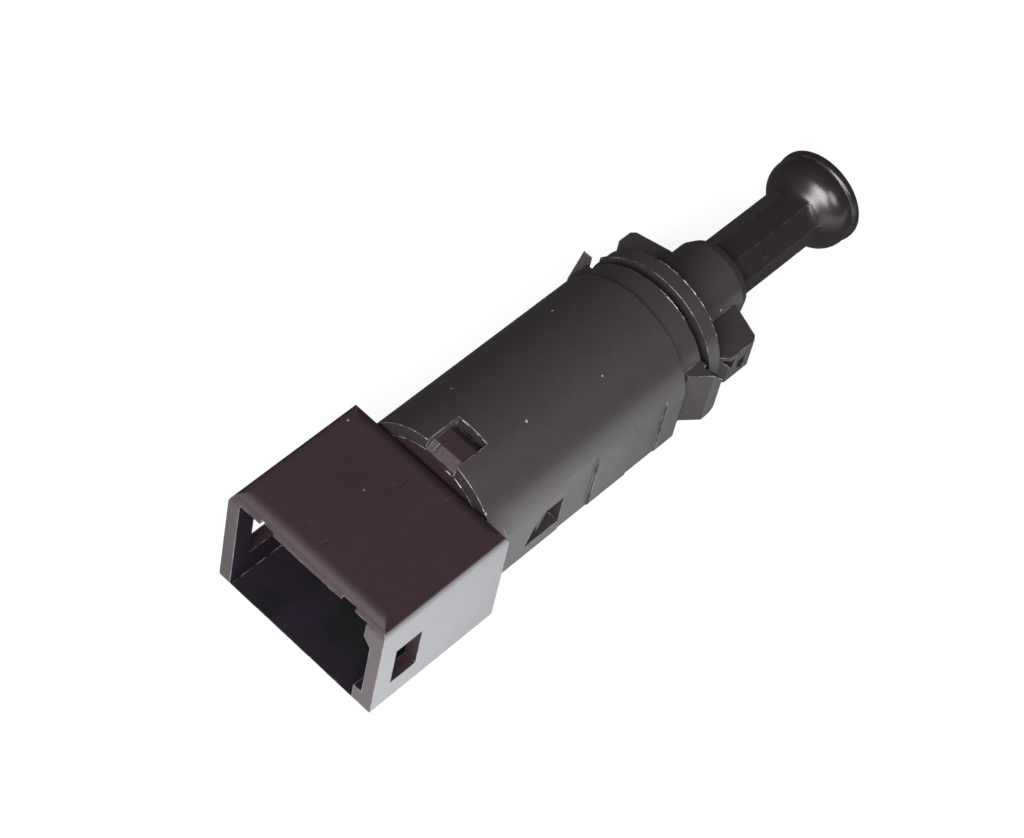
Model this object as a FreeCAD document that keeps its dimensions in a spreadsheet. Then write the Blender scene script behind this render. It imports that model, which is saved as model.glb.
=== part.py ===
import FreeCAD, Part
import math
import os
import Sketcher

# Brake light switch of the bayonet kind: a moulded barrel with a connector at its rear end and a plunger at its nose.
# X runs along the plunger towards its tip, Z is up, and the origin lies on the plunger's axis
# in the plane where the bayonet lugs seat on the pedal bracket.

SIZES = [
    # connector shroud
    ("shroud_width", 20.0),
    ("shroud_top", 5.8),
    ("shroud_drop", 9.2),
    ("shroud_length", 16.1),
    ("shroud_wall", 1.4),
    ("shroud_roof_wall", 1.05),
    ("shroud_floor_wall", 0.9),
    ("shroud_top_radius", 1.7),
    ("shroud_bottom_radius", 1.6),
    ("base_thickness", 2.6),
    ("roof_step_width", 0.9),
    ("roof_step_height", 2.0),
    ("roof_step_slant", 1.0),
    ("roof_groove_from_middle", 4.4),
    ("roof_groove_width", 1.7),
    ("roof_groove_depth", 0.4),
    ("floor_step_width", 1.0),
    ("floor_step_height", 2.4),
    ("latch_window_setback", 2.2),
    ("latch_window_length", 3.3),
    ("latch_window_height", 5.5),
    ("latch_window_top", 0.5),
    # barrel
    ("crown_radius", 8.4),
    ("side_flat_depth", 0.1),
    ("barrel_drop", 6.3),
    ("barrel_wall", 1.3),
    ("barrel_length", 26.8),
    ("barrel_edge_radius", 0.8),
    ("joint_gap", 0.1),
    ("front_wall", 0.7),
    ("side_recess_depth", 0.25),
    ("side_recess_length", 4.4),
    ("first_recess_from_rear", 10.2),
    ("second_recess_from_front", 7.0),
    ("hook_window_from_rear", 5.3),
    ("hook_window_length", 4.7),
    ("hook_window_slant", 1.6),
    ("hook_window_height", 4.0),
    ("notch_length", 4.0),
    ("notch_width", 3.75),
    ("notch_offset", -0.65),
    # bayonet head
    ("shoulder_setback", 5.5),
    ("shoulder_radius", 7.9),
    ("shoulder_drop", 4.6),
    ("groove_radius", 6.4),
    ("pilot_radius", 8.0),
    ("pilot_length", 1.6),
    ("groove_length", 1.0),
    ("lug_reach", 8.4),
    ("lug_length", 5.0),
    ("lug_slope", 1.3),
    ("lug_rear_slope", 1.2),
    ("lug_rear_depth", 1.1),
    ("lug_dip_middle", 1.85),
    ("lug_dip_end", 2.95),
    ("lug_dip_start_depth", 0.2),
    ("lug_outer_top", 1.3),
    ("lug_inner_top", 1.5),
    ("left_lug_top", 1.9),
    ("lug_drop", 2.6),
    ("lug_edge_bevel", 0.4),
    ("lug_pocket_depth", 1.3),
    ("lug_pocket_low", 1.0),
    ("lug_pocket_width", 1.1),
    ("lug_pocket_top", 0.3),
    ("lug_wall", 0.5),
    ("bracket_space", 1.3),
    ("fin_reach", 9.4),
    ("fin_length", 1.7),
    ("fin_ramp", 2.0),
    ("fin_top", 3.2),
    ("fin_slope", 2.0),
    ("left_fin_top", 2.8),
    ("left_fin_slope", 3.0),
    ("fin_drop", 4.0),
    ("fin_thickness", 1.1),
    ("fin_corner_radius", 1.0),
    ("nose_radius", 4.45),
    ("nose_length", 9.0),
    ("nose_edge_radius", 1.4),
    # plunger
    ("shaft_flats", 6.1),
    ("shaft_showing", 11.0),
    ("head_length", 4.9),
    ("flare_length", 1.5),
    ("flare_radius", 4.8),
    ("flare_bevel", 0.4),
    ("head_bulge_from_rear", 2.4),
    ("head_radius", 5.12),
    ("head_waist_radius", 4.95),
    ("lip_radius", 5.15),
    ("lip_thickness", 0.9),
    ("lip_bevel", 0.2),
    ("stop_ear_width", 5.2),
    ("stop_ear_length", 1.4),
    ("stop_ear_room", 0.5),
    ("tail_radius", 1.8),
    ("tail_length", 2.6),
    # contact works
    ("neck_length", 4.0),
    ("blade_width", 2.6),
    ("blade_thickness", 0.8),
    ("blade_showing", 8.0),
    ("blade_offset", 3.2),
    ("track_share", 0.476),
    ("row_pitch", 4.8),
    ("track_width", 2.2),
    ("arm_thickness", 1.0),
    ("arm_setback", 2.7),
    ("arm_margin", 0.2),
    ("pad_thickness", 0.25),
    ("pad_length", 3.6),
    ("contact_zone", 5.0),
    ("hook_thickness", 0.9),
    ("hook_reach", 0.9),
    ("carrier_side", 0.5),
    ("carrier_margin", 0.3),
    ("carrier_rest_gap", 0.5),
    ("carrier_length", 11.64),
    ("bar_from_front", 5.0),
    ("bar_width", 3.0),
    ("bar_thickness", 0.6),
    ("bar_float", 0.5),
    ("dome_height", 0.5),
    ("dome_radius", 1.0),
    ("dome_bevel", 0.25),
    ("rivet_radius", 0.55),
    ("spring_wire_radius", 0.25),
    ("return_spring_share", 0.19),
    ("return_spring_turns", 6.0),
    ("spring_room", 0.2),
    ("peg_length", 1.3),
    ("contact_spring_radius", 1.05),
    ("contact_spring_turns", 2.0),
    ("contact_wire_radius", 0.15),
    ("spring_web", 1.0),
    # clearances
    ("fit_gap", 0.1),
    ("slide_gap", 0.06),
    ("contact_gap", 0.05),
    ("rivet_gap", 0.02),
]

OCTAGON = math.tan(math.pi / 8.0)
SIDES = (1, -1)
WIRE_SIDES = 6
HALF_ROUND = 1.0 - math.sqrt(0.5)
UP = FreeCAD.Vector(0, 0, 1)

doc = FreeCAD.newDocument("BrakeLightSwitch")
sheet = doc.addObject("Spreadsheet::Sheet", "Sizes")


class Size:
    """A length that remembers the formula giving it from the sheet's cells."""

    def __init__(self, value, text):
        self.value = value
        self.text = text

    def __add__(self, other):
        other = as_size(other)
        return Size(self.value + other.value, "(%s + %s)" % (self.text, other.text))

    def __sub__(self, other):
        other = as_size(other)
        return Size(self.value - other.value, "(%s - %s)" % (self.text, other.text))

    def __mul__(self, other):
        other = as_size(other)
        return Size(self.value * other.value, "%s * %s" % (self.text, other.text))

    def __truediv__(self, other):
        other = as_size(other)
        return Size(self.value / other.value, "%s / %s" % (self.text, other.text))

    def __radd__(self, other):
        return as_size(other) + self

    def __rsub__(self, other):
        return as_size(other) - self

    def __rmul__(self, other):
        return as_size(other) * self

    def __neg__(self):
        return as_size(0) - self


def as_size(value):
    return value if isinstance(value, Size) else Size(float(value), "(%r)" % float(value))


class Sizes:
    """The sheet's cells by name, each read as a Size."""

    def __getattr__(self, name):
        return Size(float(sheet.get(name)), "Sizes." + name)


S = Sizes()


def fill_sheet():
    for row, (name, value) in enumerate(SIZES, start=1):
        sheet.set("A%d" % row, name)
        sheet.set("B%d" % row, str(value))
        sheet.setAlias("B%d" % row, name)
    doc.recompute()


def bind(thing, place, size):
    thing.setExpression(place, as_size(size).text)


def new_body(name):
    body = doc.addObject("PartDesign::Body", "Body_" + name)
    body.Label = name
    return body


def sketch_on(body, role, offset=0.0):
    """A sketch on one of the body's own origin planes, moved along that plane's normal."""
    sketch = body.newObject("Sketcher::SketchObject", body.Label + "_sketch")
    plane = next(item for item in body.Origin.OriginFeatures if item.Role == role)
    sketch.AttachmentSupport = [(plane, "")]
    sketch.MapMode = "FlatFace"
    bind(sketch, "AttachmentOffset.Base.z", offset)
    return sketch


def pin(sketch, kind, first, size):
    """Holds one coordinate of a point, counted from the sketch's origin."""
    size = as_size(size)
    geometry, point = first
    index = sketch.addConstraint(Sketcher.Constraint(kind, -1, 1, geometry, point, size.value))
    sketch.setExpression("Constraints[%d]" % index, size.text)


def outline(sketch, points):
    """A closed outline of straight lines through the given points."""
    points = [(as_size(x), as_size(y)) for x, y in points]
    count = len(points)
    first = None
    for i, (x, y) in enumerate(points):
        nx, ny = points[(i + 1) % count]
        start = FreeCAD.Vector(x.value, y.value, 0)
        end = FreeCAD.Vector(nx.value, ny.value, 0)
        line = sketch.addGeometry(Part.LineSegment(start, end), False)
        first = line if first is None else first
    for i, (x, y) in enumerate(points):
        previous = first + (i - 1) % count
        sketch.addConstraint(Sketcher.Constraint("Coincident", previous, 2, first + i, 1))
        pin(sketch, "DistanceX", (first + i, 1), x)
        pin(sketch, "DistanceY", (first + i, 1), y)


def circle(sketch, x, y, radius):
    x, y, radius = as_size(x), as_size(y), as_size(radius)
    centre = FreeCAD.Vector(x.value, y.value, 0)
    ring = sketch.addGeometry(Part.Circle(centre, UP, radius.value), False)
    pin(sketch, "DistanceX", (ring, 3), x)
    pin(sketch, "DistanceY", (ring, 3), y)
    index = sketch.addConstraint(Sketcher.Constraint("Radius", ring, radius.value))
    sketch.setExpression("Constraints[%d]" % index, radius.text)


def crowned(sketch, radius, half, drop):
    """The barrel's section: a round crown on two upright sides and a flat floor."""
    start = math.acos(half.value / radius.value)
    arc = Part.ArcOfCircle(Part.Circle(FreeCAD.Vector(0, 0, 0), UP, radius.value), start, math.pi - start)
    height = radius.value * math.sin(start)
    corners = [(half.value, height), (half.value, -drop.value), (-half.value, -drop.value), (-half.value, height)]
    corners = [FreeCAD.Vector(y, z, 0) for y, z in corners]
    crown = sketch.addGeometry(arc, False)
    right, floor, left = (sketch.addGeometry(Part.LineSegment(a, b), False) for a, b in zip(corners, corners[1:]))
    sketch.addConstraint(Sketcher.Constraint("Coincident", crown, 3, -1, 1))
    index = sketch.addConstraint(Sketcher.Constraint("Radius", crown, radius.value))
    sketch.setExpression("Constraints[%d]" % index, radius.text)
    pin(sketch, "DistanceX", (crown, 1), half)
    pin(sketch, "DistanceX", (crown, 2), -half)
    sketch.addConstraint(Sketcher.Constraint("Coincident", crown, 1, right, 1))
    sketch.addConstraint(Sketcher.Constraint("Coincident", right, 2, floor, 1))
    sketch.addConstraint(Sketcher.Constraint("Coincident", floor, 2, left, 1))
    sketch.addConstraint(Sketcher.Constraint("Coincident", left, 2, crown, 2))
    for line, side in ((right, half), (floor, -half)):
        pin(sketch, "DistanceX", (line, 2), side)
        pin(sketch, "DistanceY", (line, 2), -drop)


def box_outline(sketch, x0, x1, y0, y1):
    outline(sketch, [(x0, y0), (x1, y0), (x1, y1), (x0, y1)])


def octagon(sketch, across):
    far = across / 2
    near = far * OCTAGON
    outline(sketch, [(far, near), (near, far), (-near, far), (-far, near),
                     (-far, -near), (-near, -far), (near, -far), (far, -near)])


def pad(body, sketch, length):
    feature = body.newObject("PartDesign::Pad", body.Label + "_pad")
    feature.Profile = sketch
    bind(feature, "Length", length)
    return feature


def cut(body, sketch, length):
    """Cuts from the sketch's plane along its normal, and checks that something went."""
    doc.recompute()
    before = body.Shape.Volume
    feature = body.newObject("PartDesign::Pocket", body.Label + "_pocket")
    feature.Profile = sketch
    feature.Reversed = True
    bind(feature, "Length", length)
    doc.recompute()
    if not body.Shape.Volume < before:
        raise RuntimeError("a pocket of %s cuts nothing" % body.Label)
    return feature


def turn(body, sketch):
    """A solid of revolution about the sketch's horizontal axis."""
    feature = body.newObject("PartDesign::Revolution", body.Label + "_turned")
    feature.Profile = sketch
    feature.ReferenceAxis = (sketch, ["H_Axis"])
    feature.Angle = 360.0
    return feature


def soften(body, size, test, kind="Fillet"):
    """Rounds or bevels the edges whose ends both pass the test."""
    doc.recompute()
    base = body.Tip
    names = []
    for number, edge in enumerate(base.Shape.Edges, start=1):
        if all(test(vertex.Point) for vertex in edge.Vertexes):
            names.append("Edge%d" % number)
    if not names:
        raise RuntimeError("no edge of %s to round" % body.Label)
    feature = body.newObject("PartDesign::" + kind, body.Label + "_softened")
    feature.Base = (base, names)
    bind(feature, "Radius" if kind == "Fillet" else "Size", size)
    return feature


def near(a, size):
    return abs(a - as_size(size).value) < 1e-4


# Stations along the plunger's axis, from the connector's mouth to the plunger's tip.
def stations():
    place = {}
    place["barrel_front"] = -S.shoulder_setback
    place["barrel_rear"] = place["barrel_front"] - S.barrel_length
    place["shroud_rear"] = place["barrel_rear"] - S.joint_gap
    place["mouth"] = place["shroud_rear"] - S.shroud_length
    place["socket_floor"] = place["shroud_rear"] - S.base_thickness
    place["neck_front"] = place["barrel_rear"] + S.neck_length
    place["cavity_front"] = place["barrel_front"] - S.front_wall
    place["carrier_front"] = place["cavity_front"] - S.stop_ear_length - S.slide_gap
    place["carrier_rear"] = place["carrier_front"] - S.carrier_length
    place["bar_middle"] = place["carrier_front"] - S.bar_from_front
    place["bar_pressed"] = place["bar_middle"] - (place["carrier_rear"] - S.carrier_rest_gap - place["neck_front"])
    place["bore_floor"] = place["bar_middle"] - S.bar_width / 2 - S.fit_gap - S.spring_web
    place["blade_tip"] = place["socket_floor"] - S.blade_showing
    place["arm_front"] = place["cavity_front"] - S.arm_setback
    place["zone_rear"] = place["arm_front"] - S.contact_zone
    place["ring_front"] = -(S.pilot_length + S.groove_length)
    place["head_rear"] = S.nose_length + S.shaft_showing
    place["tip"] = place["head_rear"] + S.head_length
    return place


# Places across the axis that follow the barrel's cavity.
def cavity_floor():
    return -(S.barrel_drop - S.barrel_wall)


def track_line():
    return S.crown_radius * S.track_share


def blade_rows():
    lower = cavity_floor() + S.fit_gap + S.blade_width / 2
    return lower + S.row_pitch, lower


def return_spring_radius():
    return S.crown_radius * S.return_spring_share


def bar_inner_face():
    face = track_line() - S.blade_thickness / 2 - S.pad_thickness
    return face - S.contact_gap - S.dome_height - S.bar_thickness


def barrel(at):
    body = new_body("barrel")
    half = S.crown_radius - S.side_flat_depth
    inner_radius = S.crown_radius - S.barrel_wall
    inner_half = half - S.barrel_wall

    sketch = sketch_on(body, "YZ_Plane", at["barrel_rear"])
    crowned(sketch, S.crown_radius, half, S.barrel_drop)
    pad(body, sketch, S.barrel_length)
    floor = -S.barrel_drop
    soften(body, S.barrel_edge_radius, lambda p: near(abs(p.y), half) and near(p.z, floor))

    sketch = sketch_on(body, "YZ_Plane", at["barrel_front"])
    crowned(sketch, S.shoulder_radius, S.shoulder_radius - S.side_flat_depth, S.shoulder_drop)
    pad(body, sketch, at["ring_front"] - at["barrel_front"])

    sketch = sketch_on(body, "XZ_Plane")
    outline(sketch, [
        (at["barrel_front"], 0), (at["barrel_front"], S.groove_radius), (-S.pilot_length, S.groove_radius),
        (-S.pilot_length, S.pilot_radius), (0, S.pilot_radius), (0, S.nose_radius),
        (S.nose_length - S.nose_edge_radius, S.nose_radius),
        (S.nose_length - S.nose_edge_radius * HALF_ROUND, S.nose_radius - S.nose_edge_radius * HALF_ROUND),
        (S.nose_length, S.nose_radius - S.nose_edge_radius), (S.nose_length, 0)])
    turn(body, sketch)

    for side in SIDES:
        fin(body, at, side)
        lug(body, side)

    sketch = sketch_on(body, "YZ_Plane", at["barrel_rear"])
    crowned(sketch, inner_radius, inner_half, S.barrel_drop - S.barrel_wall)
    cut(body, sketch, at["cavity_front"] - at["barrel_rear"])

    sketch = sketch_on(body, "YZ_Plane", at["cavity_front"])
    octagon(sketch, S.shaft_flats + 2 * S.slide_gap)
    cut(body, sketch, S.nose_length - at["cavity_front"])

    for start in (at["barrel_rear"] + S.first_recess_from_rear, at["barrel_front"] - S.second_recess_from_front):
        for side in SIDES:
            sketch = sketch_on(body, "YZ_Plane", start)
            deep = side * (half - S.side_recess_depth)
            box_outline(sketch, deep, side * (half + S.barrel_wall), -(S.barrel_drop + S.barrel_wall), S.crown_radius)
            cut(body, sketch, S.side_recess_length)

    # The snap windows go through both side walls, and slant at their rear end.
    sketch = sketch_on(body, "XZ_Plane", -S.crown_radius)
    rear = at["barrel_rear"] + S.hook_window_from_rear
    front = rear + S.hook_window_length
    outline(sketch, [(rear, -S.hook_window_height), (front, -S.hook_window_height), (front, 0),
                     (rear + S.hook_window_slant, 0)])
    cut(body, sketch, 2 * S.crown_radius)

    # The notch at the rear of the crown takes the connector's tongue.
    sketch = sketch_on(body, "XY_Plane", inner_radius / 2)
    box_outline(sketch, at["barrel_rear"] - S.joint_gap, at["barrel_rear"] + S.notch_length,
                S.notch_offset - S.notch_width / 2, S.notch_offset + S.notch_width / 2)
    cut(body, sketch, S.crown_radius)
    return body


def fin(body, at, side):
    """A springy fin that sweeps out of the shoulder and presses the bracket against the lugs."""
    root = S.shoulder_radius - S.fin_thickness
    tip = -S.bracket_space
    bend = tip - S.fin_length
    foot = bend - S.fin_ramp
    inner = S.fin_reach - S.fin_thickness
    sketch = sketch_on(body, "XY_Plane", -S.fin_drop)
    outline(sketch, [
        (foot, side * root), (foot, side * (S.shoulder_radius - S.side_flat_depth)), (bend, side * S.fin_reach),
        (tip, side * S.fin_reach), (tip, side * inner), (at["ring_front"], side * inner),
        (at["ring_front"], side * root)])
    pad(body, sketch, S.fin_drop + S.fin_top)
    # The right fin falls towards its tip, and the left one towards its foot.
    sketch = sketch_on(body, "XZ_Plane", -S.fin_reach if side > 0 else S.pilot_radius)
    if side < 0:
        outline(sketch, [(bend, S.fin_top), (tip, S.fin_top), (tip, S.fin_top - S.fin_slope)])
    else:
        low = S.left_fin_top - S.left_fin_slope
        outline(sketch, [(foot, low), (bend, low), (tip, S.left_fin_top), (tip, S.fin_top), (foot, S.fin_top)])
    cut(body, sketch, S.fin_reach - S.pilot_radius)
    soften(body, S.fin_corner_radius,
           lambda p: near(p.x, tip) and near(p.z, -S.fin_drop) and side * p.y > S.pilot_radius.value)


def lug(body, side):
    """A bayonet lug in front of the bracket. The left lug is higher and has a dip in its outer face."""
    inside = S.nose_radius - S.barrel_wall
    front = S.lug_length + S.lug_slope
    sketch = sketch_on(body, "YZ_Plane")
    top = S.left_lug_top if side > 0 else S.lug_outer_top
    outline(sketch, [
        (side * inside, -S.lug_drop), (side * S.lug_reach, -S.lug_drop), (side * S.lug_reach, top),
        (side * S.nose_radius, S.lug_inner_top), (side * inside, S.lug_inner_top)])
    pad(body, sketch, front)
    low = -S.lug_drop
    high = S.lug_drop + S.lug_inner_top + top
    sketch = sketch_on(body, "XY_Plane", low)
    outline(sketch, [(S.lug_length, side * S.lug_reach), (front, side * S.nose_radius), (front, side * S.lug_reach)])
    cut(body, sketch, high)
    soften(body, S.lug_edge_bevel, lambda p: near(p.x, S.lug_length) and near(p.y, side * S.lug_reach), "Chamfer")
    sketch = sketch_on(body, "XY_Plane", low)
    rear = S.lug_reach - S.lug_rear_depth
    if side < 0:
        outline(sketch, [(0, -rear), (S.lug_rear_slope, -S.lug_reach), (0, -S.lug_reach)])
    else:
        outline(sketch, [(0, S.lug_reach - S.lug_dip_start_depth), (S.lug_dip_middle, rear),
                         (S.lug_dip_end, S.lug_reach), (0, S.lug_reach)])
    cut(body, sketch, high)
    if side < 0:
        lug_pockets(body)


def lug_pockets(body):
    """Two pockets core the right lug's outer face, with a rib between them."""
    middle = S.lug_length / 2
    top = S.lug_outer_top - S.lug_wall
    first = middle + S.lug_wall / 2
    last = first + S.lug_pocket_width
    floor = -(S.lug_drop - S.lug_wall)
    pockets = [
        [(S.lug_wall, top), (middle - S.lug_wall, top), (middle - S.lug_wall, -S.lug_pocket_low)],
        [(first, -S.lug_pocket_top), (last, -S.lug_pocket_top), (last, floor), (first, floor + S.lug_wall)]]
    for points in pockets:
        sketch = sketch_on(body, "XZ_Plane", S.lug_reach - S.lug_pocket_depth)
        outline(sketch, points)
        cut(body, sketch, S.lug_pocket_depth)


def plunger(at):
    """The eight-sided shaft with its mushroom head, and inside the barrel its stop ears and tail."""
    body = new_body("plunger")
    rear = at["cavity_front"] - S.slide_gap
    sketch = sketch_on(body, "YZ_Plane", rear)
    octagon(sketch, S.shaft_flats)
    pad(body, sketch, at["head_rear"] + S.flare_length - rear)

    sketch = sketch_on(body, "XZ_Plane")
    rim = at["head_rear"] + S.flare_length
    lip_rear = at["tip"] - S.lip_thickness
    outline(sketch, [
        (at["head_rear"], 0), (at["head_rear"], S.shaft_flats / 2), (rim, S.flare_radius),
        (at["head_rear"] + S.head_bulge_from_rear, S.head_radius), (lip_rear, S.head_waist_radius),
        (lip_rear, S.lip_radius), (at["tip"], S.lip_radius), (at["tip"], 0)])
    turn(body, sketch)
    soften(body, S.flare_bevel, lambda p: near(p.x, rim), "Chamfer")
    soften(body, S.lip_bevel, lambda p: near(p.x, at["tip"]), "Chamfer")

    ear_rear = rear - S.stop_ear_length
    half = S.stop_ear_width / 2
    sketch = sketch_on(body, "YZ_Plane", ear_rear)
    box_outline(sketch, -half, half, cavity_floor() + S.stop_ear_room, -cavity_floor() - S.stop_ear_room)
    pad(body, sketch, S.stop_ear_length)
    sketch = sketch_on(body, "YZ_Plane", ear_rear - S.tail_length)
    circle(sketch, 0, 0, S.tail_radius)
    pad(body, sketch, S.tail_length)
    return body


def connector_housing(at):
    body = new_body("connector_housing")
    half = S.shroud_width / 2
    sketch = sketch_on(body, "YZ_Plane", at["mouth"])
    box_outline(sketch, -half, half, -S.shroud_drop, S.shroud_top)
    pad(body, sketch, S.shroud_length)
    soften(body, S.shroud_top_radius, lambda p: near(abs(p.y), half) and near(p.z, S.shroud_top))
    soften(body, S.shroud_bottom_radius, lambda p: near(abs(p.y), half) and near(p.z, -S.shroud_drop))

    # Steps on one side of the socket and two grooves in its roof guide the plug.
    sketch = sketch_on(body, "YZ_Plane", at["mouth"])
    inner = half - S.shroud_wall
    roof = S.shroud_top - S.shroud_roof_wall
    floor = -S.shroud_drop + S.shroud_floor_wall
    groove = roof + S.roof_groove_depth
    groove_near = S.roof_groove_from_middle
    groove_far = S.roof_groove_from_middle + S.roof_groove_width
    outline(sketch, [
        (inner, floor), (inner, roof),
        (groove_far, roof), (groove_far, groove), (groove_near, groove), (groove_near, roof),
        (-groove_near, roof), (-groove_near, groove), (-groove_far, groove), (-groove_far, roof),
        (-inner + S.roof_step_width, roof), (-inner + S.roof_step_width, roof - S.roof_step_height),
        (-inner, roof - S.roof_step_height - S.roof_step_slant), (-inner, floor + S.floor_step_height),
        (-inner + S.floor_step_width, floor + S.floor_step_height), (-inner + S.floor_step_width, floor)])
    cut(body, sketch, at["socket_floor"] - at["mouth"])

    sketch = sketch_on(body, "XZ_Plane", -half)
    rear = at["mouth"] + S.latch_window_setback
    box_outline(sketch, rear, rear + S.latch_window_length,
                S.latch_window_top - S.latch_window_height, S.latch_window_top)
    cut(body, sketch, S.shroud_width)

    # The neck plugs into the barrel, and the tongue on it fills the barrel's notch.
    plug_radius = S.crown_radius - S.barrel_wall - S.fit_gap
    plug_half = S.crown_radius - S.side_flat_depth - S.barrel_wall - S.fit_gap
    sketch = sketch_on(body, "YZ_Plane", at["shroud_rear"])
    crowned(sketch, plug_radius, plug_half, S.barrel_drop - S.barrel_wall - S.fit_gap)
    pad(body, sketch, at["neck_front"] - at["shroud_rear"])
    sketch = sketch_on(body, "XZ_Plane", -(S.notch_offset + S.notch_width / 2 - S.fit_gap))
    front = at["barrel_rear"] + S.notch_length - 2 * S.fit_gap
    slant = S.notch_length / 4
    top = S.crown_radius - S.barrel_wall / 2
    outline(sketch, [
        (at["shroud_rear"], 0), (front, 0), (front, plug_radius), (front - slant, top),
        (at["shroud_rear"] + slant, top), (at["shroud_rear"], S.crown_radius - S.barrel_wall)])
    pad(body, sketch, S.notch_width - 2 * S.fit_gap)

    # Two arms reach into the barrel and carry the contact tracks.
    rows = blade_rows()
    arm_inner = track_line() + S.blade_thickness / 2
    arm_low = cavity_floor() + S.fit_gap
    arm_top = rows[0] + S.blade_width / 2 + S.arm_margin
    for side in SIDES:
        sketch = sketch_on(body, "XY_Plane", arm_low)
        box_outline(sketch, at["neck_front"] - S.neck_length / 2, at["arm_front"],
                    side * arm_inner, side * (arm_inner + S.arm_thickness))
        pad(body, sketch, arm_top - arm_low)
        snap_hook(body, at, side, plug_half)

    slot = S.blade_width / 2 + S.slide_gap
    for row in rows:
        # one slot for each blade through the base and the neck
        for side in SIDES:
            sketch = sketch_on(body, "YZ_Plane", at["socket_floor"])
            middle = side * S.blade_offset
            near_side = middle - S.blade_thickness / 2 - S.slide_gap
            far_side = middle + S.blade_thickness / 2 + S.slide_gap
            box_outline(sketch, near_side, far_side, row - slot, row + slot)
            cut(body, sketch, at["neck_front"] - at["socket_floor"])
        # one window for the brake track where it runs behind the arm's inner face
        sketch = sketch_on(body, "YZ_Plane", at["neck_front"])
        box_outline(sketch, arm_inner, arm_inner + 2 * S.arm_thickness, row - slot, row + slot)
        cut(body, sketch, at["zone_rear"] - at["neck_front"])

    # The peg keeps the return spring on the axis.
    sketch = sketch_on(body, "YZ_Plane", at["neck_front"])
    circle(sketch, 0, 0, return_spring_radius() - 2 * S.spring_wire_radius)
    pad(body, sketch, S.peg_length)
    return body


def snap_hook(body, at, side, plug_half):
    """A hook on each side of the neck that snaps into the barrel's window."""
    sketch = sketch_on(body, "XY_Plane", -(S.hook_window_height - S.fit_gap))
    front = at["barrel_rear"] + S.hook_window_from_rear + S.hook_window_length - 2 * S.fit_gap
    barb = front - S.hook_window_length / 2
    outline(sketch, [
        (at["neck_front"] - S.neck_length / 2, side * (plug_half - S.hook_thickness)),
        (front, side * (plug_half - S.hook_thickness)),
        (front, side * (plug_half + S.fit_gap)),
        (barb, side * (plug_half + S.hook_reach)),
        (barb, side * plug_half),
        (at["neck_front"] - S.neck_length / 2, side * plug_half)])
    pad(body, sketch, S.hook_window_height - 2 * S.fit_gap)


def terminal(name, at, side, row, brake):
    """A flat blade in the socket that runs on into the barrel as a contact track."""
    body = new_body(name)
    half = S.blade_thickness / 2
    entry = S.blade_offset
    contact = track_line()
    hidden = contact + S.blade_thickness
    jog = at["neck_front"] + S.blade_thickness / 2
    zone = at["zone_rear"]
    if brake:
        path = [(jog, entry), (jog + 2 * S.blade_thickness, hidden), (zone - 2 * S.blade_thickness, hidden),
                (zone, contact), (at["arm_front"], contact)]
    else:
        path = [(jog, entry), (jog + S.blade_thickness, contact), (zone, contact)]
    tip = at["blade_tip"]
    points = [(tip, entry - half / 2), (tip + half, entry - half)]
    points += [(x, y - half) for x, y in path]
    points += [(x, y + half) for x, y in reversed(path)]
    points += [(tip + half, entry + half), (tip, entry + half / 2)]
    sketch = sketch_on(body, "XY_Plane", row - S.blade_width / 2)
    outline(sketch, [(x, side * y) for x, y in points])
    pad(body, sketch, S.blade_width)
    return body


def contact_pad(name, at, side, row, brake):
    """A silver pad laid on the track where the moving contact meets it."""
    body = new_body(name)
    face = track_line() - S.blade_thickness / 2
    pressed = at["bar_pressed"] - S.pad_length / 2
    rear = at["zone_rear"] + S.fit_gap if brake else pressed
    sketch = sketch_on(body, "XY_Plane", row - S.track_width / 2)
    box_outline(sketch, rear, rear + S.pad_length, side * (face - S.pad_thickness), side * face)
    pad(body, sketch, S.track_width)
    return body


def contact_carrier(at):
    """The slider between the tracks: it holds both bridges and takes the plunger's tail."""
    body = new_body("contact_carrier")
    rows = blade_rows()
    half = bar_inner_face() + S.carrier_side
    low = cavity_floor() + S.fit_gap
    top = rows[0] + S.blade_width / 2 + S.carrier_margin
    sketch = sketch_on(body, "YZ_Plane", at["carrier_rear"])
    box_outline(sketch, -half, half, low, top)
    pad(body, sketch, at["carrier_front"] - at["carrier_rear"])

    sketch = sketch_on(body, "YZ_Plane", at["carrier_rear"])
    circle(sketch, 0, 0, return_spring_radius() + S.spring_wire_radius + S.spring_room)
    cut(body, sketch, at["bore_floor"] - at["carrier_rear"])

    sketch = sketch_on(body, "YZ_Plane", at["carrier_front"] - S.tail_length - S.fit_gap)
    circle(sketch, 0, 0, S.tail_radius + S.slide_gap)
    cut(body, sketch, S.tail_length + S.fit_gap)

    groove = bar_inner_face() - S.bar_float
    middle_z = (rows[0] + rows[1]) / 2
    reach = S.bar_width / 2 + S.fit_gap
    for side in SIDES:
        sketch = sketch_on(body, "XY_Plane", low)
        box_outline(sketch, at["bar_middle"] - reach, at["bar_middle"] + reach, side * groove, side * (half + S.bar_float))
        cut(body, sketch, top - low)
        start = -groove if side > 0 else S.spring_web / 2
        sketch = sketch_on(body, "XZ_Plane", start)
        circle(sketch, at["bar_middle"], middle_z, S.contact_spring_radius + S.contact_wire_radius + S.fit_gap)
        cut(body, sketch, groove - S.spring_web / 2)
    return body


def contact_bridge(name, at, side):
    """A flat bar across the two tracks of one circuit, with a hole near each end for its rivet."""
    body = new_body(name)
    inner = bar_inner_face()
    rows = blade_rows()
    end = S.dome_radius + S.fit_gap
    start = -(inner + S.bar_thickness) if side > 0 else inner
    sketch = sketch_on(body, "XZ_Plane", start)
    box_outline(sketch, at["bar_middle"] - S.bar_width / 2, at["bar_middle"] + S.bar_width / 2,
                rows[1] - end, rows[0] + end)
    for row in rows:
        circle(sketch, at["bar_middle"], row, S.rivet_radius + S.rivet_gap)
    pad(body, sketch, S.bar_thickness)
    return body


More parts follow.
